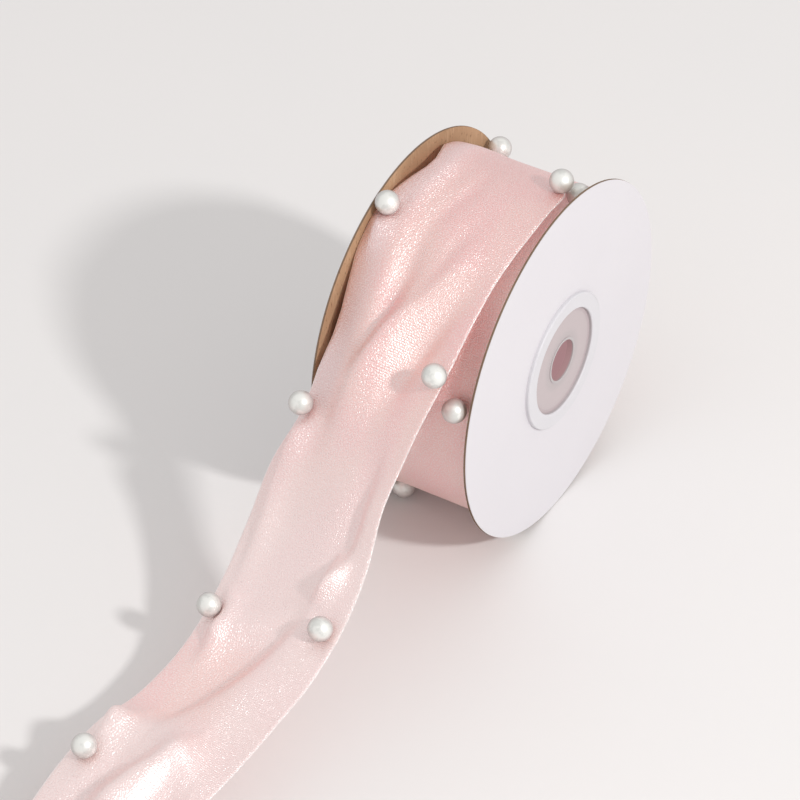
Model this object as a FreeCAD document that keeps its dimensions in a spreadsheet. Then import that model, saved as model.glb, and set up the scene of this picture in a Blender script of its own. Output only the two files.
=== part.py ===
import FreeCAD, Part
import math
import os

import Sketcher
from FreeCAD import Placement, Rotation, Vector

# Reel of pearl-edged satin ribbon.
#
# Two paperboard flanges are clamped between a core tube and two moulded hubs, and the ribbon is
# wound on the tube.  The reel stands on its flange rims.  The last two turns are loose; the ribbon
# comes over the top, runs down in front (-Y) and ends on the table.
#
# Frame: origin at the centre of the arbor bore, half-way between the flanges, +X along the bore,
# +Z up.  The table is at z = -flange_radius.  All lengths are in millimetres.

SIZES = [
    # alias, value, what it is
    ("flange_radius", 46.0, "radius of the paperboard flanges"),
    ("board_thickness", 0.45, "kraft board of a flange"),
    ("facing_thickness", 0.15, "white paper glued on a board's outer face"),
    ("facing_margin", 0.05, "board left bare round the facing"),
    ("ribbon_width", 40.0, "flat width of the ribbon"),
    ("side_gap", 0.9, "room between a flange and the ribbon's edge"),
    ("pack_radius", 38.0, "radius of the tightly wound turns"),
    ("ribbon_gauge", 0.4, "thickness of the loose ribbon with its small folds"),
    ("loose_gap", 0.3, "room between the pack and the start of the loose turns"),
    ("tail_reach", 193.5, "from where the ribbon leaves the reel forward to its cut end"),
    ("core_radius", 16.9, "outside radius of the core tube"),
    ("core_wall", 1.2, "wall of the core tube"),
    ("core_fit", 0.1, "radial clearance of a hub's barrel in tube and board"),
    ("barrel_wall", 1.0, "wall of a hub's barrel"),
    ("barrel_length", 9.0, "how far a hub's barrel reaches in from the facing"),
    ("rim_radius", 17.8, "outside radius of a hub's rim"),
    ("rim_width", 4.0, "radial width of a hub's rim"),
    ("rim_height", 1.0, "how far a hub's rim stands out from the facing"),
    ("rim_round", 0.35, "rounding of the rim's two edges"),
    ("floor_thickness", 1.0, "web that closes a hub inside its rim"),
    ("bore_radius", 5.4, "radius of the arbor bore"),
    ("collar_wall", 0.6, "wall of the collar round the bore"),
    ("collar_length", 1.6, "how far the collar reaches in from the facing"),
    ("lip_height", 0.2, "how far the collar stands out of the hub's floor"),
    ("tape_thickness", 0.25, "tape that holds the ribbon's inner end on the core"),
    ("tape_width", 18.0, "length of that tape along the core"),
    ("tape_angle", 70.0, "how far that tape reaches round the core, in degrees"),
    ("tape_seat", 0.05, "room on each side of the tape"),
    ("pearl_radius", 3.0, "radius of a pearl"),
    ("pearl_foot", 72.0, "latitude at which a pearl is cut flat for its glue, in degrees"),
    ("pearl_inset", 2.6, "from the ribbon's edge to a pearl's centre"),
    ("glue_line", 0.05, "glue between a pearl and the ribbon"),
]

# The loose ribbon, from the pack outward.  Folds draw its edges in from their flat width.  A
# station on the reel gives the angle round it in degrees (0 in front at -Y, 90 on top), how far
# the outer face stands out from where the loose turns start, the twist in degrees that lifts the
# right edge, and how far the left and the right edge are drawn in.
INNER_TURN = [
    (125, 0.0, 0, 0.5, 0.2), (102, 0.2, 0, 0.5, 0.2), (80, 0.9, 0, 0.5, 0.2),
    (60, 1.6, 0, 0.5, 0.2), (38, 2.4, 0, 0.5, 0.2), (16, 3.0, 0, 0.5, 0.2),
    (-6, 3.0, 0, 0.6, 0.2), (-28, 2.9, 0, 1.5, 0.2), (-48, 3.3, 0, 3.5, 0.2),
    (-67, 4.1, -2, 5.0, 0.3), (-88, 5.2, -1, 4.0, 0.5), (-108, 5.4, 0, 2.5, 1.0),
    (-128, 5.2, 0, 1.5, 1.5), (-148, 4.9, 0, 0.8, 2.0), (-165, 4.6, 0, 0.5, 2.5),
    (-182, 4.4, 0, 0.4, 3.0),
]
OUTER_TURN = [
    (-182, 4.4, 0, 0.4, 3.0), (-202, 3.6, 0, 0.4, 3.4), (-222, 3.0, 0, 0.4, 4.2),
    (-238, 3.4, 0, 0.4, 5.8), (-250, 3.9, 0, 0.5, 6.6), (-259, 4.1, 0, 0.6, 3.8),
    (-270, 4.3, 1, 0.8, 3.0),
    (-282, 4.9, 2, 0.6, 2.4), (-294, 5.7, 3, 0.4, 2.6), (-304, 6.2, 5, 0.5, 3.0),
    (-314, 6.6, 8, 0.7, 3.2),
]
# A station on the tail gives the share of its reach, the share of the drop to the table that is
# still left, and then the same three.
TAIL = [
    (0.000, 1.000, 8, 0.7, 3.2), (0.065, 0.860, 14, 0.6, 3.3), (0.127, 0.716, 18, 0.1, 4.3),
    (0.184, 0.575, 16, -2.9, 5.0), (0.238, 0.430, 13, -2.4, 3.6), (0.302, 0.312, 12, -1.6, 3.2),
    (0.374, 0.238, 12, -1.3, 3.3), (0.455, 0.216, 9, -1.5, 4.4), (0.535, 0.222, 5, -2.9, 4.8),
    (0.612, 0.214, 5, -3.0, 5.2), (0.690, 0.156, 4, -3.1, 5.6), (0.767, 0.070, 3, -3.3, 5.8),
    (0.845, 0.010, 1, -3.6, 6.0), (0.922, 0.000, 0, -3.8, 6.0), (1.000, 0.000, 0, -3.8, 6.0),
]
# Pearls: name, angle round the reel, edge (+1 right, -1 left), and how much nearer the middle than
# usual the pearl sits.
INNER_PEARLS = [
    ("pearl_inner_right_1", 109, 1, 0.0), ("pearl_inner_right_2", 16, 1, 0.8),
    ("pearl_inner_left_1", 11, -1, 0.0), ("pearl_inner_right_3", -70, 1, 0.0),
    ("pearl_inner_left_2", -67, -1, 0.0), ("pearl_inner_right_4", -128, 1, 0.0),
    ("pearl_inner_left_3", -143, -1, 0.0),
]
OUTER_PEARLS = [
    ("pearl_outer_right_1", -192, 1, 0.0), ("pearl_outer_left_1", -217, -1, 0.0),
    ("pearl_outer_right_2", -257, 1, -1.2), ("pearl_outer_left_2", -291.7, -1, -0.6),
]
# The same, with the distance down the tail in place of the angle.
TAIL_PEARLS = [
    ("pearl_tail_right_1", 16.8, 1, -1.5), ("pearl_tail_left_1", 33.7, -1, -1.4),
    ("pearl_tail_right_2", 82.5, 1, 1.5), ("pearl_tail_left_2", 86.0, -1, 0.0),
    ("pearl_tail_left_3", 137.2, -1, 1.9), ("pearl_tail_right_3", 144.0, 1, -1.6),
    ("pearl_tail_left_4", 190.0, -1, 0.0), ("pearl_tail_right_4", 198.0, 1, 0.0),
]

doc = FreeCAD.newDocument("ribbon_reel")
sheet = doc.addObject("Spreadsheet::Sheet", "sizes")
for row, (alias, value, note) in enumerate(SIZES, start=1):
    sheet.set(f"A{row}", note)
    sheet.set(f"B{row}", str(value))
    sheet.setAlias(f"B{row}", alias)
doc.recompute()


def plane(body, role):
    """Return one of a body's own origin planes."""
    return next(f for f in body.Origin.OriginFeatures if f.Role == role)


def new_body(label):
    body = doc.addObject("PartDesign::Body", label)
    body.Label = label
    return body


def new_sketch(body, role, place=Placement()):
    """Add a sketch on an origin plane of its body."""
    sketch = body.newObject("Sketcher::SketchObject", f"{body.Name}_profile")
    sketch.AttachmentSupport = [(plane(body, role), "")]
    sketch.MapMode = "FlatFace"
    sketch.AttachmentOffset = place
    return sketch


def circle(sketch, radius, name):
    """Draw a circle about the sketch's origin, its radius bound to a size."""
    value = sketch.evalExpression(radius)
    index = sketch.addGeometry(Part.Circle(Vector(), Vector(0, 0, 1), value))
    sketch.addConstraint(Sketcher.Constraint("Coincident", index, 3, -1, 1))
    number = sketch.addConstraint(Sketcher.Constraint("Radius", index, value))
    sketch.renameConstraint(number, name)
    sketch.setExpression(f"Constraints.{name}", radius)


def outline(sketch, corners):
    """Draw a closed outline whose corners are pairs of expressions on the sizes."""
    values = [Vector(sketch.evalExpression(x), sketch.evalExpression(y)) for x, y in corners]
    for start, end in zip(values, values[1:] + values[:1]):
        sketch.addGeometry(Part.LineSegment(start, end))
    for index, (corner, value) in enumerate(zip(corners, values)):
        previous = (index - 1) % len(corners)
        sketch.addConstraint(Sketcher.Constraint("Coincident", previous, 2, index, 1))
        for kind, text, length in zip(("DistanceX", "DistanceY"), corner, (value.x, value.y)):
            number = sketch.addConstraint(Sketcher.Constraint(kind, -1, 1, index, 1, length))
            sketch.setExpression(f"Constraints[{number}]", text)


def pad(body, sketch, length, symmetric=False):
    feature = body.newObject("PartDesign::Pad", f"{body.Name}_pad")
    feature.Profile = sketch
    feature.setExpression("Length", length)
    feature.SideType = "Symmetric" if symmetric else "One side"
    return feature


def annulus(label, outer, inner, length, start=None):
    """Make a ring about the X axis, from start towards +X, or centred when there is no start."""
    body = new_body(label)
    sketch = new_sketch(body, "YZ_Plane")
    circle(sketch, outer, "outer")
    circle(sketch, inner, "inner")
    pad(body, sketch, length, symmetric=start is None)
    if start is not None:
        body.setExpression("Placement.Base.x", start)
    return body


# Widths across the reel, each measured from its middle.
INSIDE = "(sizes.ribbon_width / 2 + sizes.side_gap)"
BOARD_FACE = f"({INSIDE} + sizes.board_thickness)"
FACE = f"({BOARD_FACE} + sizes.facing_thickness)"
BARREL_RADIUS = "(sizes.core_radius - sizes.core_wall - sizes.core_fit)"
HUB_HOLE = "(sizes.core_radius - sizes.core_wall)"


# Flanges: a kraft board with a white facing a little smaller than it, and a hole for the hub.
def flange(side, sign):
    inner_face = INSIDE if sign > 0 else f"-{BOARD_FACE}"
    annulus(f"{side}_flange_board", "sizes.flange_radius", HUB_HOLE, "sizes.board_thickness",
            inner_face)
    outer_face = BOARD_FACE if sign > 0 else f"-{FACE}"
    annulus(f"{side}_flange_facing", "sizes.flange_radius - sizes.facing_margin", HUB_HOLE,
            "sizes.facing_thickness", outer_face)


# Hub: one moulding.  Its rim clamps the flange, its barrel plugs the core tube, and a shallow
# floor inside the rim carries the arbor bore with a collar behind it.
def hub(side, turn):
    body = new_body(f"{side}_hub")
    sketch = new_sketch(body, "XZ_Plane")
    rim_inside = "sizes.rim_radius - sizes.rim_width"
    barrel_inside = f"{BARREL_RADIUS} - sizes.barrel_wall"
    collar = "sizes.bore_radius + sizes.collar_wall"
    outline(sketch, [
        ("sizes.lip_height", "sizes.bore_radius"),
        ("sizes.lip_height", collar),
        ("0", collar),
        ("0", rim_inside),
        ("sizes.rim_height", rim_inside),
        ("sizes.rim_height", "sizes.rim_radius"),
        ("0", "sizes.rim_radius"),
        ("0", BARREL_RADIUS),
        ("-sizes.barrel_length", BARREL_RADIUS),
        ("-sizes.barrel_length", barrel_inside),
        ("-sizes.floor_thickness", barrel_inside),
        ("-sizes.floor_thickness", collar),
        ("-sizes.collar_length", collar),
        ("-sizes.collar_length", "sizes.bore_radius"),
    ])
    turned = body.newObject("PartDesign::Revolution", f"{body.Name}_turned")
    turned.Profile = sketch
    turned.ReferenceAxis = (sketch, ["H_Axis"])
    turned.Angle = 360
    doc.recompute()
    crown = sketch.evalExpression("sizes.rim_height")
    edges = [f"Edge{number}" for number, edge in enumerate(turned.Shape.Edges, start=1)
             if edge.BoundBox.XMin > crown - 0.01]
    rounding = body.newObject("PartDesign::Fillet", f"{body.Name}_rounding")
    rounding.Base = (turned, edges)
    rounding.setExpression("Radius", "sizes.rim_round")
    body.Placement.Rotation = Rotation(Vector(0, 0, 1), turn)
    body.setExpression("Placement.Base.x", FACE if turn == 0 else f"-{FACE}")
    return body


flange("right", 1)
flange("left", -1)
hub("right", 0)
hub("left", 180)

# Core tube, butted between the two boards.
annulus("core_tube", "sizes.core_radius", HUB_HOLE, f"2 * {INSIDE}")


# Tape: a patch bent round the core, over the ribbon's inner end.
def tape():
    patch = doc.addObject("Part::Cylinder", "tape_outside")
    patch.setExpression("Radius", "sizes.core_radius + sizes.tape_seat + sizes.tape_thickness")
    inside = doc.addObject("Part::Cylinder", "tape_inside")
    inside.setExpression("Radius", "sizes.core_radius + sizes.tape_seat")
    for tube in (patch, inside):
        tube.setExpression("Height", "sizes.tape_width")
        tube.setExpression("Angle", "sizes.tape_angle")
        tube.Placement.Rotation = Rotation(Vector(0, 1, 0), 90)
        tube.setExpression("Placement.Base.x", "-sizes.tape_width / 2")
    cut = doc.addObject("Part::Cut", "ribbon_start_tape")
    cut.Base = patch
    cut.Tool = inside
    return cut


tape()

# Pack: the tight turns, as one soft ring.
annulus("ribbon_pack", "sizes.pack_radius",
        "sizes.core_radius + sizes.tape_thickness + 2 * sizes.tape_seat", "sizes.ribbon_width")


def size(alias):
    """Return a size from the sheet, as a number."""
    return sheet.get(alias)


# Loose ribbon.  Its outer face follows one line in the side view, drawn with Y and Z.
gauge = size("ribbon_gauge")
start_radius = size("pack_radius") + size("loose_gap") + gauge
rest = gauge - size("flange_radius")


def on_reel(angle, lift):
    """Point on the outer face of a loose turn."""
    turn = math.radians(angle)
    reach = start_radius + lift
    return Vector(-reach * math.cos(turn), reach * math.sin(turn), 0)


leave = on_reel(*OUTER_TURN[-1][:2])


def on_tail(share, drop):
    """Point on the outer face of the tail."""
    return Vector(leave.x - size("tail_reach") * share, rest + (leave.y - rest) * drop, 0)


line_points = [on_reel(*station[:2]) for station in INNER_TURN + OUTER_TURN[1:]]
line_points += [on_tail(*station[:2]) for station in TAIL[1:]]
ribbon_line = Part.BSplineCurve()
ribbon_line.interpolate(line_points)


def place_at(point, twist):
    """Place of the ribbon at the line's nearest point: local X to the right edge, Y outward."""
    nearest = ribbon_line.parameter(point)
    on_line = ribbon_line.value(nearest)
    travel = ribbon_line.tangent(nearest)[0]
    square = Rotation(Vector(1, 0, 0), Vector(0, travel.y, -travel.x), Vector(), "XYZ")
    return Placement(Vector(0, on_line.x, on_line.y),
                     square * Rotation(Vector(0, 0, 1), twist))


def edge_points(stations, locate, side, depth):
    """Points of one long edge of a strip, depth under its outer face, one per station."""
    points = []
    for along, height, twist, left, right in stations:
        drawn_in = right if side > 0 else left
        edge = Vector(side * (size("ribbon_width") / 2 - drawn_in), -depth, 0)
        points.append(place_at(locate(along, height), twist).multVec(edge))
    return points


def strip(label, stations, locate):
    """Span a strip's four long faces between smooth edges and close its two ends."""
    marks = [ribbon_line.parameter(locate(along, height)) for along, height, *_ in stations]
    corners = [(-1, 0), (1, 0), (1, gauge), (-1, gauge)]
    edges = []
    for side, depth in corners:
        curve = Part.BSplineCurve()
        curve.interpolate(Points=edge_points(stations, locate, side, depth), Parameters=marks)
        edges.append(curve.toShape())
    faces = [Part.makeRuledSurface(*pair) for pair in zip(edges, edges[1:] + edges[:1])]
    for end in (0, -1):
        ring = [edge.Vertexes[end].Point for edge in edges]
        faces.append(Part.Face(Part.makePolygon(ring + ring[:1])))
    shell = Part.Shell(faces)
    shell.sewShape()
    ribbon = doc.addObject("Part::Feature", label)
    ribbon.Shape = Part.Solid(shell)
    return ribbon


inner_turn = strip("inner_turn", INNER_TURN, on_reel)
outer_turn = strip("outer_turn", OUTER_TURN, on_reel)
ribbon_tail = strip("ribbon_tail", TAIL, on_tail)


# Pearls: spheres cut flat where they are glued on the ribbon's outer face.
def pearl(label, ribbon, stations, locate, along, edge, further_in):
    """Glue a pearl near an edge of the ribbon."""
    low, high = next(pair for pair in zip(stations, stations[1:])
                     if min(pair[0][0], pair[1][0]) <= along <= max(pair[0][0], pair[1][0]))
    part = (along - low[0]) / (high[0] - low[0])
    height, twist, left, right = [a + (b - a) * part for a, b in zip(low[1:], high[1:])]
    drawn_in = (right if edge > 0 else left) + size("pearl_inset") + further_in
    above = place_at(locate(along, height), twist).multVec(
        Vector(edge * (size("ribbon_width") / 2 - drawn_in), 2 * size("pearl_radius"), 0))
    seat = ribbon.Shape.distToShape(Part.Vertex(above))[1][0][0]
    up = (above - seat).normalize()
    ball = doc.addObject("Part::Sphere", label)
    ball.setExpression("Radius", "sizes.pearl_radius")
    ball.setExpression("Angle1", "-sizes.pearl_foot")
    rise = size("pearl_radius") * math.sin(math.radians(size("pearl_foot"))) + size("glue_line")
    ball.Placement = Placement(seat + up * rise, Rotation(Vector(0, 0, 1), up))


for label, angle, edge, further_in in INNER_PEARLS:
    pearl(label, inner_turn, INNER_TURN, on_reel, angle, edge, further_in)
for label, angle, edge, further_in in OUTER_PEARLS:
    pearl(label, outer_turn, OUTER_TURN, on_reel, angle, edge, further_in)
tail_start = ribbon_line.parameter(leave)
for label, distance, edge, further_in in TAIL_PEARLS:
    point = ribbon_line.value(ribbon_line.parameterAtDistance(distance, tail_start))
    share = (leave.x - point.x) / size("tail_reach")
    pearl(label, ribbon_tail, TAIL, on_tail, share, edge, further_in)

doc.recompute()
for item in doc.Objects:
    if "Invalid" in item.State or "Error" in item.State:
        raise RuntimeError(f"{item.Label} failed to build: {item.State}")
parts = [item for item in doc.Objects
         if item.TypeId in ("PartDesign::Body", "Part::Sphere", "Part::Cut", "Part::Feature")]
for item in parts:
    if item.Shape.isNull() or not item.Shape.isValid() or item.Shape.Volume <= 0:
        raise RuntimeError(f"{item.Label} has no sound solid")

os.makedirs("parts", exist_ok=True)
for item in parts:
    item.Shape.exportStep(f"parts/{item.Label}.step")
    print(f"{item.Label}: {item.Shape.Volume:.1f} mm3")
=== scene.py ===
import math

import bmesh
import bpy
import numpy as np
from mathutils import Matrix, Vector, noise


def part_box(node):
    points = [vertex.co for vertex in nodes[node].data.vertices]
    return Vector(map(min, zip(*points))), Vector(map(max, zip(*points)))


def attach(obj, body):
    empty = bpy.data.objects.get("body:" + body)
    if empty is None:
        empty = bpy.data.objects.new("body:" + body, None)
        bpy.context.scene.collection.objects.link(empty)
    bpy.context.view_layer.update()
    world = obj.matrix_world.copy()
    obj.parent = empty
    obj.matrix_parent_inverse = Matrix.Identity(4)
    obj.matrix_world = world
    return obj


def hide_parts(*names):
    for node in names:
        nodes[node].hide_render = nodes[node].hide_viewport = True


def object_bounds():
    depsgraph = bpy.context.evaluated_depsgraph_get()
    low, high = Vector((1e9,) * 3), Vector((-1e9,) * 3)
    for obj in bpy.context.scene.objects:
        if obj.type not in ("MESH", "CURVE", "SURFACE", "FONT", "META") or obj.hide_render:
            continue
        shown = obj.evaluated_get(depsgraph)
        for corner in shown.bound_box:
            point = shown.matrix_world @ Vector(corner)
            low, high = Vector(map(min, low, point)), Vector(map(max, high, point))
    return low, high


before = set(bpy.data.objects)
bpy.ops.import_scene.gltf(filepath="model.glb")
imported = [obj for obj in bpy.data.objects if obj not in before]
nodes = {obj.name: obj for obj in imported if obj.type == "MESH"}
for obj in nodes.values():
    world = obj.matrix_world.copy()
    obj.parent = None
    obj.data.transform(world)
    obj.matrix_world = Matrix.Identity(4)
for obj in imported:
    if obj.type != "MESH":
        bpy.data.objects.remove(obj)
cad_low, cad_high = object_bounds()


# Core tube: a plain extruded plastic tube, dull and clouded, butted between the two flange boards.
# Its rose-brown colour is painted light and shade: the ribbon's pink light through the translucent
# plastic, in the dark of the core.  Nothing of it shows once the ribbon is wound on.
class Signal:
    """A node's output that can be added and multiplied like a number."""

    def __init__(self, finish, socket):
        self.finish = finish
        self.socket = socket

    def math(self, operation, *values):
        return self.finish.node("Math", inputs=dict(enumerate(values)), operation=operation)

    def __add__(self, other):
        return self.math("ADD", self, other)

    def __sub__(self, other):
        return self.math("SUBTRACT", self, other)

    def __rsub__(self, other):
        return self.math("SUBTRACT", other, self)

    def __mul__(self, other):
        return self.math("MULTIPLY", self, other)

    def __truediv__(self, other):
        return self.math("DIVIDE", self, other)

    def __pow__(self, other):
        return self.math("POWER", self, other)

    __radd__ = __add__
    __rmul__ = __mul__

    def floor(self):
        return self.math("FLOOR", self)

    def sine(self):
        return self.math("SINE", self)

    def size(self):
        return self.math("ABSOLUTE", self)

    def fade(self, low, high):
        """Rise smoothly from 0 at low to 1 at high; with high under low, fall from 1 at high to 0."""
        return self.finish.node("MapRange", inputs={
            "Value": self,
            "From Min": min(low, high),
            "From Max": max(low, high),
            "To Min": float(low > high),
            "To Max": float(low < high)}, interpolation_type="SMOOTHSTEP")


class Finish:
    """A material under way: its nodes, and the Principled shader that they feed."""

    def __init__(self, name, **constants):
        self.material = bpy.data.materials.new(name)
        self.material.use_nodes = True
        self.tree = self.material.node_tree
        self.shader = self.tree.nodes["Principled BSDF"]
        for socket, value in constants.items():
            self.shader.inputs[socket.replace("_", " ")].default_value = value

    def node(self, kind, output=0, inputs=None, **settings):
        """Add a node, apply its settings, then its inputs' values or links; return one output."""
        made = self.tree.nodes.new("ShaderNode" + kind)
        for setting, value in settings.items():
            setattr(made, setting, value)
        for place, value in (inputs or {}).items():
            if isinstance(value, Signal):
                self.tree.links.new(value.socket, made.inputs[place])
            else:
                made.inputs[place].default_value = value
        return Signal(self, made.outputs[output])

    def spot(self):
        """X, Y and Z on the piece, in millimetres."""
        return self.parts(self.node("Mapping", inputs={
            "Vector": self.node("TexCoord", "Object"), "Scale": (1000, 1000, 1000)}))

    def parts(self, vector):
        split = self.node("SeparateXYZ", inputs={"Vector": vector})
        return [Signal(self, part) for part in split.socket.node.outputs]

    def cloud(self, pitch, detail=2.0):
        """Soft noise whose blots are about pitch millimetres wide, a number or one per axis."""
        pitches = pitch if isinstance(pitch, tuple) else (pitch,) * 3
        place = self.node("Mapping", inputs={
            "Vector": self.node("TexCoord", "Object"),
            "Scale": tuple(1000 / each for each in pitches)})
        return self.node("TexNoise", inputs={"Vector": place, "Scale": 1.0, "Detail": detail})

    def blend(self, amount, first, second):
        """Colour between two colours, by a signal from 0 to 1."""
        start, end = (each if isinstance(each, Signal) else (*each, 1) for each in (first, second))
        return self.node("Mix", 2, inputs={0: amount, 6: start, 7: end}, data_type="RGBA")

    def feed(self, **signals):
        for socket, signal in signals.items():
            self.tree.links.new(signal.socket, self.shader.inputs[socket.replace("_", " ")])

    def raised(self, height):
        """Normals of a surface that stands out by height, in millimetres."""
        return self.node("Bump", inputs={"Height": height, "Distance": 0.001, "Strength": 1.0})

    def bump(self, height):
        self.feed(Normal=self.raised(height))

    def put_on(self, *things):
        for thing in things:
            thing.data.materials.clear()
            thing.data.materials.append(self.material)


core = Finish("core_plastic", Roughness=0.6)
swirl = core.cloud((5, 1.1, 1.1), 3.0)
# Painted light and shade: the rose-brown stands in for the ribbon's pink light in the dark core.
core.feed(
    Base_Color=core.blend(swirl, (0.36, 0.17, 0.16), (0.47, 0.25, 0.23)),
    Roughness=swirl * 0.3 + 0.45)
core.bump(swirl * 0.05)
core.put_on(nodes["core_tube"])

# Flange boards: die-cut discs of brown kraft board, with pulp clouds, long pale fibres and dark
# flecks.  The rim round each disc is darker.
kraft = Finish("kraft_board", Roughness=0.85, Specular_IOR_Level=0.2)
_, y, z = kraft.spot()
out = (y * y + z * z) ** 0.5
fibres = kraft.cloud((3.3, 1.1, 6.2), 4.0)
flecks = kraft.cloud((1.4, 0.62, 1.4), 2.0)
brown = kraft.blend(kraft.cloud(16).fade(0.3, 0.7), (0.395, 0.24, 0.14), (0.47, 0.30, 0.18))
brown = kraft.blend(fibres.fade(0.52, 0.75) * 0.5, brown, (0.62, 0.43, 0.28))
brown = kraft.blend(flecks.fade(0.62, 0.72) * 0.7, brown, (0.17, 0.085, 0.04))
cut_rim = out.fade(45.93, 45.97)
brown = kraft.blend(cut_rim * 0.75, brown, (0.13, 0.095, 0.07))
kraft.feed(Base_Color=brown, Roughness=fibres * 0.2 + 0.72)
kraft.bump(fibres * 0.06 + flecks * 0.04)
kraft.put_on(nodes["right_flange_board"], nodes["left_flange_board"])

# Flange facings: thin white paper glued on each board, with a faint tooth and a soft calendered
# shine.
facing = Finish("white_facing", Roughness=0.42, Specular_IOR_Level=0.35)
tooth = facing.cloud(0.7, 3.0)
facing.feed(
    Base_Color=facing.blend(facing.cloud(22), (0.675, 0.655, 0.685), (0.70, 0.68, 0.71)),
    Roughness=tooth * 0.2 + 0.36)
facing.bump(tooth * 0.012)
facing.put_on(nodes["right_flange_facing"], nodes["left_flange_facing"])

# Hubs: white moulded plastic, pushed into the core.  The rim has a soft shine; the floor inside it
# is matt, with a moulded ledge round it.  The floor's grey and the ledge's darker grey are painted
# shade.  The bore's dark pink is painted pink light and shade, and the thin barrel glows a little
# with painted light, the ribbon's pink.
moulded = Finish("hub_plastic", Roughness=0.4, IOR=1.45, Emission_Strength=1.0)
x, y, z = moulded.spot()
out = (y * y + z * z) ** 0.5
# Each part is told by its distance from the middle of the reel and from the bore's axis.
sunk = x.size().fade(22.3, 21.9) * out.fade(14.0, 13.7)
ledge = sunk * out.fade(12.7, 12.9)
inside = x.size().fade(21.6, 21.2)
barrel = inside * out.fade(6.5, 9.0)
# Painted light: a pink glow inside the bore, stronger on the barrel, though the hub is no lamp.
painted_pink_glow = moulded.blend(inside, (0.0, 0.0, 0.0), (0.20, 0.125, 0.13))
grain = moulded.cloud(1.6)
white = moulded.blend(moulded.cloud(11), (0.63, 0.62, 0.65), (0.67, 0.66, 0.685))
# Painted shade: the sunk floor greyer, the ledge darker still.
white = moulded.blend(sunk, white, (0.475, 0.445, 0.45))
white = moulded.blend(ledge, white, (0.44, 0.405, 0.415))
# Painted light and shade: the bore a dark pink, with the painted glow on it.
moulded.feed(
    Base_Color=moulded.blend(inside, white, (0.24, 0.145, 0.15)),
    Emission_Color=moulded.blend(barrel, painted_pink_glow, (0.32, 0.20, 0.21)),
    Roughness=sunk * 0.2 + grain * 0.08 + 0.36)
moulded.bump(grain * 0.004)
moulded.put_on(nodes["right_hub"], nodes["left_hub"])

# Tape: one patch of clear film, slightly yellowed.  It is pressed over the ribbon's inner end and
# holds it on the core while the first turn is wound.
tape = Finish("clear_tape", Roughness=0.3)
haze = tape.cloud(1.2, 3.0)
tape.feed(
    Base_Color=tape.blend(haze, (0.72, 0.68, 0.6), (0.82, 0.79, 0.72)),
    Roughness=haze * 0.3 + 0.2)
tape.bump(haze * 0.03)
tape.put_on(nodes["ribbon_start_tape"])

# Pack: the tight turns of ribbon on the core, wound by machine.  Its rim is smooth satin; its two
# sides show the selvedges of the turns, a little out of line with each other.
skin = 0.05
tape_room = 0.4
side_inset = 1.0
pack_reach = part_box("ribbon_pack")[1].z * 1000 - skin
half_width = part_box("ribbon_pack")[1].x * 1000
core_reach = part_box("core_tube")[1].z * 1000 + tape_room
side_rings = 30
rim_steps = 8
sectors = 144
# Each ring of a side is a selvedge, set in or out from the one below it.
profile = []
for ring in range(side_rings):
    radius = core_reach + (pack_reach - core_reach) * ring / (side_rings - 1)
    stagger = 0.45 * math.sin(ring * 2.4) + 0.5 * (ring % 2)
    profile.append((stagger - half_width + side_inset, radius))
profile += [(-half_width * (1 - step / rim_steps), pack_reach) for step in range(1, rim_steps)]
profile += [(-x, radius) for x, radius in reversed(profile)]
shape = bmesh.new()
bmesh.ops.create_grid(shape, x_segments=len(profile) - 1, y_segments=sectors, size=0.5)
for vertex in shape.verts:
    x, radius = profile[round((vertex.co.x + 0.5) * (len(profile) - 1))]
    angle = 2 * math.pi * (round((vertex.co.y + 0.5) * sectors) % sectors) / sectors
    forward, upward = math.cos(angle), math.sin(angle)
    on_side = abs(x) > 17
    sway = noise.noise(Vector((forward * 2, upward * 2, radius * 0.9))) * 0.5 * on_side
    vertex.co = Vector((x + math.copysign(sway, x), -forward * radius, upward * radius)) / 1000
bmesh.ops.remove_doubles(shape, verts=shape.verts, dist=1e-6)
bmesh.ops.recalc_face_normals(shape, faces=shape.faces)
for face in shape.faces:
    face.smooth = True
mesh = bpy.data.meshes.new("wound_turns")
shape.to_mesh(mesh)
shape.free()
pack = bpy.data.objects.new("wound_turns", mesh)
bpy.context.scene.collection.objects.link(pack)
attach(pack, "reel")
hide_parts("ribbon_pack")

wound = Finish("wound_satin", Roughness=0.45)
x, y, z = wound.spot()
out = (y * y + z * z) ** 0.5
turns_per_mm = 1.4
turn_count = out * turns_per_mm
layer = turn_count - turn_count.floor()
weft = (x * 12.5).sine()
mottle = wound.cloud(2, 3.0)
rose = wound.blend(layer.fade(0.5, 0.95), (0.66, 0.32, 0.29), (0.80, 0.48, 0.45))
wound.feed(
    Base_Color=wound.blend(mottle * 0.35, rose, (0.88, 0.6, 0.57)),
    Roughness=mottle * 0.3 + 0.35)
wound.bump(layer * 0.1 + weft * 0.03)
wound.put_on(pack)


# Loose ribbon: one sheet of pink satin, woven 40 mm wide.  It leaves the pack, goes one and a
# quarter times round the reel and trails forward from the top to its cut end.  The pearls and the
# handling have drawn it into soft lengthwise folds.

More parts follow.
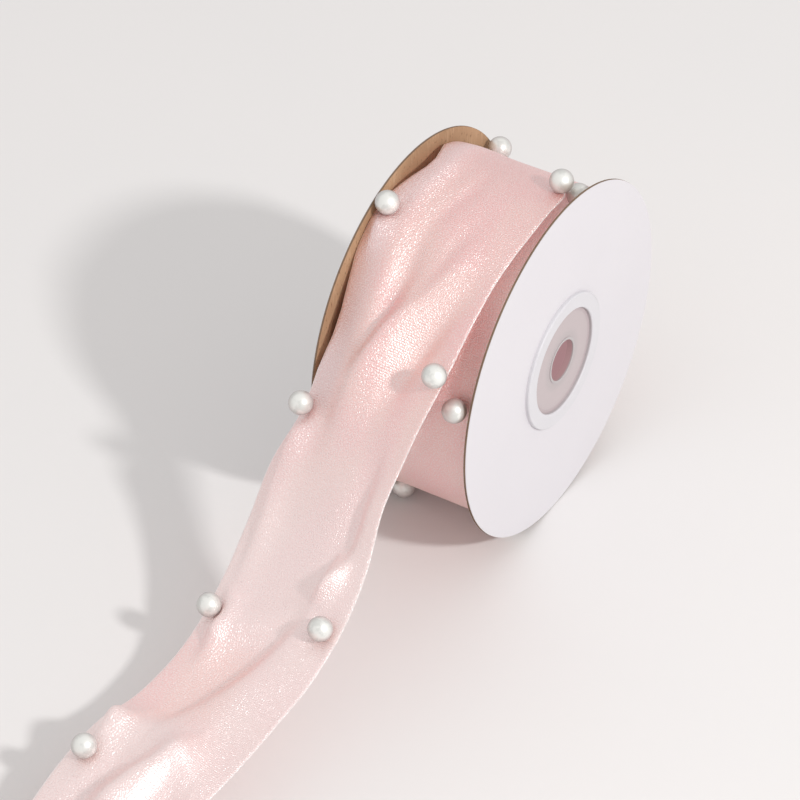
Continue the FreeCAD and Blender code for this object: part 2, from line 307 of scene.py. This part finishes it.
# A station on the reel: angle in degrees (0 in front, 90 on top), how far it stands out from the
# pack, the twist that lifts the right edge, and how far the left and right edges are drawn in.
ON_REEL = [
    (125, 0.0, 0, 0.5, 0.2), (102, 0.2, 0, 0.5, 0.2), (80, 0.9, 0, 0.5, 0.2),
    (60, 1.6, 0, 0.5, 0.2), (38, 2.4, 0, 0.5, 0.2), (16, 3.0, 0, 0.5, 0.2), (-6, 3.0, 0, 0.6, 0.2),
    (-28, 2.9, 0, 1.5, 0.2), (-48, 3.3, 0, 3.5, 0.2), (-67, 4.1, -2, 5.0, 0.3),
    (-88, 5.2, -1, 4.0, 0.5), (-108, 5.4, 0, 2.5, 1.0), (-128, 5.2, 0, 1.5, 1.5),
    (-148, 4.9, 0, 0.8, 2.0), (-165, 4.6, 0, 0.5, 2.5), (-182, 4.4, 0, 0.4, 3.0),
    (-202, 3.6, 0, 0.4, 3.4), (-222, 3.0, 0, 0.4, 4.2), (-238, 3.4, 0, 0.4, 5.8),
    (-250, 3.9, 0, 0.5, 6.6), (-259, 4.1, 0, 0.6, 3.8), (-270, 4.3, 1, 0.8, 3.0),
    (-282, 4.9, 2, 0.6, 2.4), (-294, 5.7, 3, 0.4, 2.6), (-304, 6.2, 5, 0.5, 3.0),
    (-314, 6.6, 8, 0.7, 3.2),
]
# A station on the tail: share of its reach, share of the drop still left, and the same three.
ON_TAIL = [
    (0.000, 1.000, 8, 0.7, 3.2), (0.065, 0.860, 14, 0.6, 3.3), (0.127, 0.716, 18, 0.1, 4.3),
    (0.184, 0.575, 16, -2.9, 5.0), (0.238, 0.430, 13, -2.4, 3.6), (0.302, 0.312, 12, -1.6, 3.2),
    (0.374, 0.238, 12, -1.3, 3.3), (0.455, 0.216, 9, -1.5, 4.4), (0.535, 0.222, 5, -2.9, 4.8),
    (0.612, 0.214, 5, -3.0, 5.2), (0.690, 0.156, 4, -3.1, 5.6), (0.767, 0.070, 3, -3.3, 5.8),
    (0.845, 0.010, 1, -3.6, 6.0), (0.922, 0.000, 0, -3.8, 6.0), (1.000, 0.000, 0, -3.8, 6.0),
]
# The sheet's gauge, its gap over the pack and its width, in millimetres.
GAUGE = 0.4
LOOSE_GAP = 0.3
WIDTH = 40.0
flange_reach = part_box("right_flange_board")[1].z * 1000
start_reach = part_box("ribbon_pack")[1].z * 1000 + LOOSE_GAP + GAUGE
table = GAUGE - flange_reach
line = []
for angle, stand, *_ in ON_REEL:
    reach = start_reach + stand
    line.append((-reach * math.cos(math.radians(angle)), reach * math.sin(math.radians(angle))))
leave_y, leave_z = line[-1]
tail_reach = leave_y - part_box("ribbon_tail")[0].y * 1000
for share, drop, *_ in ON_TAIL[1:]:
    line.append((leave_y - tail_reach * share, table + (leave_z - table) * drop))
line = np.array(line)
shifts = np.array([station[2:] for station in ON_REEL + ON_TAIL[1:]], dtype=float)


def smooth_through(points, marks, places):
    """Values at places of a smooth curve that passes through points at marks."""
    steps = np.diff(marks)[:, None]
    slopes = np.diff(points, axis=0) / steps
    pull = np.vstack([slopes[:1], (slopes[:-1] * steps[1:] + slopes[1:] * steps[:-1])
                      / (steps[1:] + steps[:-1]), slopes[-1:]])
    index = np.clip(np.searchsorted(marks, places) - 1, 0, len(steps) - 1)
    step = steps[index]
    t = (places - marks[index])[:, None] / step
    return (points[index] * (1 + 2 * t) * (1 - t) ** 2 + points[index + 1] * t * t * (3 - 2 * t)
            + step * t * (1 - t) * (pull[index] * (1 - t) - pull[index + 1] * t))


# Distances along the ribbon, and how much further in the left selvedge is drawn there.  A negative
# figure lets it spread.
GATHERS = [
    (262, 0.0), (276, 0.0), (280, 1.3), (284, 2.3), (288, 2.1), (296, 0.1), (300, -0.9),
    (306, -1.1), (318, -1.3), (332, 0.2), (338, 0.3), (347, -0.8), (354, -0.7), (362, 0.0),
]
# The same for the right selvedge: the first turn comes out from under the next one at a slant.
SLANT = [(0, 6.5), (11, 0.0)]
# The mesh: its pitch along the ribbon, the selvedge that has finer columns, and the columns between.
CELL = 0.6
SELVEDGE = 1.0
COLUMNS = 65
marks = np.r_[0, np.cumsum(np.linalg.norm(np.diff(line, axis=0), axis=1))]
length = marks[-1]
along = np.linspace(0, length, int(length / CELL) + 1)
half = WIDTH / 2
edging = np.array([0.0, 0.25, 0.5, 0.75])
across = np.r_[
    edging - half, np.linspace(SELVEDGE - half, half - SELVEDGE, COLUMNS), half - edging[::-1]]
middle = smooth_through(line, marks, along)
twist, left_in, right_in = smooth_through(shifts, marks, along).T
left_in += np.interp(along, *np.array(GATHERS).T)
right_in += np.interp(along, *np.array(SLANT).T)
travel = np.gradient(middle, axis=0)
travel /= np.linalg.norm(travel, axis=1, keepdims=True)
# Every point of the mesh has its distance along the ribbon and its place across it.
far, wide = np.meshgrid(along, across, indexing="ij")
drawn_in = np.where(wide < 0, left_in[:, None], right_in[:, None])
shrunk = wide * (1 - drawn_in / half)
rise = shrunk * np.sin(np.radians(twist))[:, None]
cloth = np.stack([
    shrunk * np.cos(np.radians(twist))[:, None],
    middle[:, :1] + rise * travel[:, 1:],
    middle[:, 1:] - rise * travel[:, :1]], axis=2)


def outward(points):
    """Unit normals of a grid of points, facing away from the reel."""
    normal = np.cross(np.gradient(points, axis=0), np.gradient(points, axis=1))
    return normal / np.linalg.norm(normal, axis=2, keepdims=True)


# Folds: how far a fold reaches to its left and to its right, and points of its crest: distance
# along the ribbon, place across it, and height.  A negative height is a valley.
FOLDS = [
    (7.0, 3.2, [(262, -13, 0.3), (272, -14.5, 1.3), (285, -15.5, 1.6), (300, -14, 1.0), (310, -12, 0.9),
                (318, -10.5, 1.6), (325, -10.5, 1.8), (335, -10, 2.2), (342, -9.5, 1.6), (356, -9, 0.0)]),
    (2.8, 2.5, [(275, -4, 0.0), (290, -3, -0.5), (305, -6, -0.7), (318, -5.5, -1.0), (328, -6.0, -1.0),
                (336, -8, -0.6), (348, -9, 0.0)]),
    (2.5, 3.0, [(296, 5, 0.0), (306, 4, -0.4), (315, 2.8, -1.0), (323, 0.5, -1.0), (330, -5, -0.4),
                (337, -8, -0.4), (346, -9, 0.0)]),
    (4.4, 5.8, [(304, 7.5, 0.0), (311, 5.5, 1.0), (318, 3, 2.2), (325, 0, 3.6), (332, -2.8, 4.8),
                (339, -4.2, 5.2), (345, -5, 4.6), (352, -6, 2.8), (361, -7, 1.0), (370, -7, 0.0)]),
    (3.5, 4.0, [(308, 15, 0.0), (320, 13, -0.5), (327, 10.5, -1.3), (335, 8, -2.0), (343, 6, -1.2),
                (352, 5, 0.0)]),
    (4.2, 13.0, [(362, 18.5, 0.0), (372, 16, 0.9), (385, 14.5, 1.2), (392, 13, 1.1), (400, 9.5, 1.2),
                 (412, 6, 1.9), (425, 1.5, 2.3), (436, -2.5, 1.9), (446, -6, 0.8), (456, -9, 0.0)]),
    (9.0, 4.0, [(392, 6, 0.0), (400, 2.5, -0.8), (412, -1, -1.9), (425, -5.5, -2.5), (436, -9.5, -2.0),
                (446, -13, -0.6), (454, -16, 0.0)]),
    (6.0, 2.8, [(356, 9, 0.0), (367, 10, -1.0), (378, 10.5, -1.6), (386, 9.5, -0.9), (392, 8, 0.0)]),
    (1.8, 3.6, [(355, -16, 0.0), (361, -17, 3.4), (366, -16.5, 3.0), (373, -16.5, 1.4),
                (385, -15.5, 1.6), (397, -15.5, 0.7), (404, -16, 0.0)]),
    (1.8, 3.1, [(401, -16.5, 0.0), (406, -15, 3.2), (411.5, -14, 4.5), (416, -13.5, 1.8),
                (423, -13.5, 0.0)]),
    (2.0, 3.5, [(442, -17, 0.0), (448, -16, 4.6), (456, -15.5, 3.2), (464, -15, 0.4), (470, -15, 0.0)]),
    (2.0, 3.6, [(384, 9.5, 0.0), (388, 9.5, 2.0), (393, 9.5, 2.0), (399, 8.5, 0.0)]),
    (3.5, 5.6, [(445, 1.0, 0.0), (452, 1.0, 3.2), (459, -1.5, 5.0), (468, -4.5, 5.2), (480, -5, 4.2),
                (495, -2, 1.6), (515, 0, 0.0)]),
    (4.0, 2.5, [(450, -10, 0.0), (460, -10, -0.8), (472, -11, -1.0), (490, -11, -0.6), (510, -10, 0.0)]),
    (1.8, 3.2, [(300, -18.5, 0.0), (304, -18, 2.8), (308, -17.5, 3.2), (312, -17, 1.2), (318, -17, 0.0)]),
]
lift = np.zeros_like(far)
for left_reach, right_reach, crest in FOLDS:
    run, place, height = np.array(crest, dtype=float).T
    off = wide - np.interp(along, run, place)[:, None]
    reach = np.where(off < 0, left_reach, right_reach)
    lift += np.interp(along, run, height)[:, None] * np.exp(-(off / reach) ** 2)
# Bends across the ribbon, given the other way round: distance before and after, and points.
BENDS = [
    (6.0, 4.0, [(-20, 405, 0.1), (-14, 407, 1.1), (-9, 409, 1.8), (-3, 406, 1.6), (3, 401, 1.3),
                (8, 396, 0.9), (12, 391, 0.0), (20, 388, 0.0)]),
    (3.0, 3.0, [(-20, 397, 0.0), (6, 397, 0.0), (9, 393.5, 1.4), (12, 390.5, 1.6), (15, 389, 0.0),
                (20, 389, 0.0)]),
    (9.0, 5.0, [(-20, 445, 0.0), (-17, 446, 1.4), (-13, 447, 2.8), (-8, 450, 1.4), (-2, 450, 2.6),
                (4, 451, 3.2), (12, 456, 1.2), (20, 463, 0.4)]),
]
for before_reach, after_reach, crest in BENDS:
    place, run, height = np.array(crest, dtype=float).T
    off = far - np.interp(across, place, run)[None, :]
    reach = np.where(off < 0, before_reach, after_reach)
    lift += np.interp(across, place, height)[None, :] * np.exp(-(off / reach) ** 2)
# Cloth takes no sharp kink, so the folds are eased along its length.
EASINGS = 6
for _ in range(EASINGS):
    lift[1:-1] = (lift[:-2] + 2 * lift[1:-1] + lift[2:]) / 4

# Each pearl is glued on the sheet: the sheet is pulled against its foot and puckers round it.
PEARL_FOOT = 2.92
PULL_REACH = 8
PUCKER_REACH = 4.5
PUCKER_SPREAD = 4
PUCKER_HEIGHT = 0.10
PUCKERS = 7
for name in sorted(name for name in nodes if name.startswith("pearl")):
    low_corner, high_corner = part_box(name)
    centre = np.array((low_corner + high_corner) / 2) * 1000
    gaps = np.linalg.norm(cloth - centre, axis=2)
    row, column = np.unravel_index(gaps.argmin(), gaps.shape)
    away = np.hypot(far - along[row], wide - across[column])
    pull = (centre - cloth[row, column]) * (1 - PEARL_FOOT / gaps[row, column])
    cloth += np.exp(-(away / PULL_REACH) ** 2)[..., None] * pull
    held = np.exp(-(away / PUCKER_REACH) ** 2)
    lift *= 1 - held
    turn = np.arctan2(far - along[row], wide - across[column])
    lift += PUCKER_HEIGHT * np.cos(PUCKERS * turn + row) * (away / PUCKER_SPREAD) ** 2 * held
# The selvedges curl under a little.
CURL = 0.28
lift -= CURL * np.clip(np.abs(wide) - half + SELVEDGE, 0, 1) ** 2
cloth += lift[..., None] * outward(cloth)

mesh = bpy.data.meshes.new("ribbon")
shape = bmesh.new()
bmesh.ops.create_grid(shape, x_segments=len(across) - 1, y_segments=len(along) - 1, size=0.5)
flat_place = {}
for vertex in shape.verts:
    column = round((vertex.co.x + 0.5) * (len(across) - 1))
    row = round((vertex.co.y + 0.5) * (len(along) - 1))
    vertex.co = cloth[row, column] / 1000
    flat_place[vertex.index] = (across[column], along[row])
weave_place = shape.loops.layers.uv.new("weave")
for face in shape.faces:
    face.smooth = True
    for corner in face.loops:
        corner[weave_place].uv = flat_place[corner.vert.index]
shape.to_mesh(mesh)
shape.free()
ribbon = bpy.data.objects.new("ribbon", mesh)
bpy.context.scene.collection.objects.link(ribbon)
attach(ribbon, "free_end")
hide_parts("inner_turn", "outer_turn", "ribbon_tail")

# Satin: the colour lies in a soft matt ground.  Over it run bright floats, each tipped its own
# way, that spread the sheen across the width and break it into glints.
FLOAT_PITCH = 0.36
ROW_PITCH = 0.62
SHEEN_ROUGHNESS = 0.33
satin = Finish(
    "satin_ribbon", Roughness=0.5, IOR=1.45, Specular_IOR_Level=0.4, Emission_Strength=1.0)
place_across, place_along, _ = satin.parts(satin.node("UVMap"))


def woven_noise(across_pitch, along_pitch, detail=0.0):
    """Noise that follows the cloth, with its own pitch in millimetres each way."""
    place = satin.node("CombineXYZ", inputs={
        "X": place_across / across_pitch, "Y": place_along / along_pitch})
    return satin.node("TexNoise", inputs={
        "Vector": place, "Scale": 1.0, "Detail": detail}, noise_dimensions="2D")


floats = woven_noise(FLOAT_PITCH, FLOAT_PITCH)
rows = (place_along * (2 * math.pi / ROW_PITCH)).sine()
clouds = woven_noise(14, 22, 1.0)
pink = satin.blend(clouds.fade(0.35, 0.65), (0.98, 0.36, 0.335), (0.98, 0.465, 0.395))
# The cloth is sheer, and light and shade are painted into its colour, each told by its distance
# along the ribbon and across it: painted shade at the crown of the reel, where it lies on other
# turns, and along the left margin after it; painted light on the raised tail, where light comes
# through; and painted shade in one hollow of the tail that turns away from the lamp.
painted_crown_shade = place_along.fade(245, 255) * place_along.fade(305, 272)
pink = satin.blend(painted_crown_shade * 0.9, pink, (0.84, 0.28, 0.26))
# Painted shade in the hollow, painted light on the rest of the tail.
painted_hollow_shade = place_along.fade(408, 420) * place_along.fade(448, 436) * place_across.fade(8, -4)
painted_tail_light = place_along.fade(335, 395) * 0.74 - painted_hollow_shade * 0.45
pink = satin.blend(painted_tail_light, pink, (0.975, 0.79, 0.78))
# Painted shade along the left margin.
painted_margin_shade = place_across.fade(-10, -15) * place_along.fade(258, 266) * place_along.fade(390, 350)
pink = satin.blend(painted_margin_shade * 0.9, pink, (0.82, 0.43, 0.42))
# Painted glints: pale flecks on the floats, lighter than the cloth.
pink = satin.blend(floats.fade(0.5, 0.66) * 0.6, pink, (1.0, 0.86, 0.85))
# The selvedges are paler, partly their own edge and partly a painted highlight where they catch the lamp.
selvedge_and_painted_highlight = place_across.size().fade(half - 0.4, half - 0.2)
pink = satin.blend(selvedge_and_painted_highlight * 0.8, pink, (0.98, 0.92, 0.91))
# Painted light: the start of the ribbon, which lies under the last turn, glows a little in place of
# the light that comes through that turn.
satin.feed(
    Base_Color=pink, Roughness=floats * 0.2 + 0.4,
    Emission_Color=satin.blend(place_along.fade(68, 42), (0.0, 0.0, 0.0), (0.31, 0.28, 0.28)))
satin.bump(rows * 0.008 + floats * 0.03)


def over(lower, upper, share):
    """Lay a share of one shader over another."""
    return satin.node("MixShader", inputs={0: share, 1: lower, 2: upper})


# Some floats lie almost flat and others tip more, and a little light passes through the cloth.
cloth_light = Signal(satin, satin.shader.outputs[0])
for tip, share in ((0.07, 0.37), (0.28, 0.26)):
    sheen = satin.node("BsdfPrincipled", inputs={
        "Base Color": (1.0, 0.965, 0.965, 1),
        "Metallic": 1.0,
        "Roughness": SHEEN_ROUGHNESS,
        "Normal": satin.raised(floats * tip + rows * 0.02)})
    cloth_light = over(cloth_light, sheen, share)
through = satin.node("BsdfTranslucent", inputs={"Color": (0.95, 0.58, 0.53, 1)})
whole = over(cloth_light, through, 0.1)
satin.tree.links.new(whole.socket, satin.tree.nodes["Material Output"].inputs["Surface"])
satin.put_on(ribbon)


# Pearls: moulded 6 mm beads under a pearl lacquer, ivory with a soft deep lustre, each glued by
# its flat foot on the ribbon near one of its edges.  Their darker rim is painted shade and
# reflection, darker as the surface turns away from the view.
pearl = Finish("pearl", Roughness=0.33, Metallic=0.5, IOR=1.5, Coat_Weight=0.5, Coat_Roughness=0.1)
lacquer = pearl.cloud(2.4, 3.0)
# Painted shade and reflection: the rim darker where the surface turns from the view.
turned_away = pearl.node("LayerWeight", 1, inputs={"Blend": 0.35})
ivory_and_painted_rim = pearl.blend(turned_away.fade(0.1, 0.6), (0.88, 0.885, 0.855), (0.58, 0.545, 0.53))
pearl.feed(
    Base_Color=pearl.blend(lacquer.fade(0.46, 0.6) * 0.5, ivory_and_painted_rim, (0.60, 0.61, 0.59)),
    Roughness=lacquer * 0.2 + 0.30)
pearl.bump(lacquer * 0.02)
pearl.put_on(*[node for name, node in nodes.items() if name.startswith("pearl")])


# Studio: a pale floor just under the flange rims and a pale room that fills the shade.  One disc
# lamp stands high on the right, and the camera above the right front.
FLOOR_HALF = 3.0
FLOOR_GAP = 0.0001
LAMP_DISTANCE = 1.3
mesh = bpy.data.meshes.new("floor")
shape = bmesh.new()
bmesh.ops.create_grid(shape, x_segments=1, y_segments=1, size=FLOOR_HALF)
bmesh.ops.translate(shape, verts=shape.verts, vec=(0, 0, cad_low.z - FLOOR_GAP))
shape.to_mesh(mesh)
shape.free()
floor = bpy.data.objects.new("floor", mesh)
bpy.context.scene.collection.objects.link(floor)
tabletop = Finish("tabletop", Roughness=0.55, Specular_IOR_Level=0.25)
tabletop.feed(
    Base_Color=tabletop.blend(tabletop.cloud(110, 3.0), (0.825, 0.805, 0.80), (0.795, 0.785, 0.785)))
tabletop.put_on(floor)

lamp = bpy.data.objects.new("lamp", bpy.data.lights.new("lamp", "AREA"))
lamp.data.shape = "DISK"
lamp.data.size = 0.11
lamp.data.energy = 8.4
lamp.data.color = (1.0, 0.985, 0.97)
toward_lamp = Vector((0.759, -0.21, 0.616)).normalized()
lamp.location = toward_lamp * LAMP_DISTANCE
lamp.rotation_euler = toward_lamp.to_track_quat("Z", "Y").to_euler()
bpy.context.scene.collection.objects.link(lamp)

room = bpy.data.worlds.new("room")
room.use_nodes = True
room.node_tree.nodes["Background"].inputs["Color"].default_value = (1.0, 0.985, 0.975, 1)
room.node_tree.nodes["Background"].inputs["Strength"].default_value = 0.775
bpy.context.scene.world = room
bpy.context.scene.view_settings.view_transform = "Standard"

camera = bpy.data.objects.new("camera", bpy.data.cameras.new("camera"))
bpy.context.scene.collection.objects.link(camera)
right = Vector((0.85428, 0.51982, 0.0))
up = Vector((-0.33278, 0.54690, 0.76822))
camera.matrix_world = Matrix.Translation((0.3305, -0.58335, 0.53651)) @ Matrix(
    (right, up, right.cross(up))).transposed().to_4x4()
camera.data.sensor_width = 36.0
camera.data.lens = 157.5
camera.data.clip_start = 0.01
bpy.context.scene.camera = camera
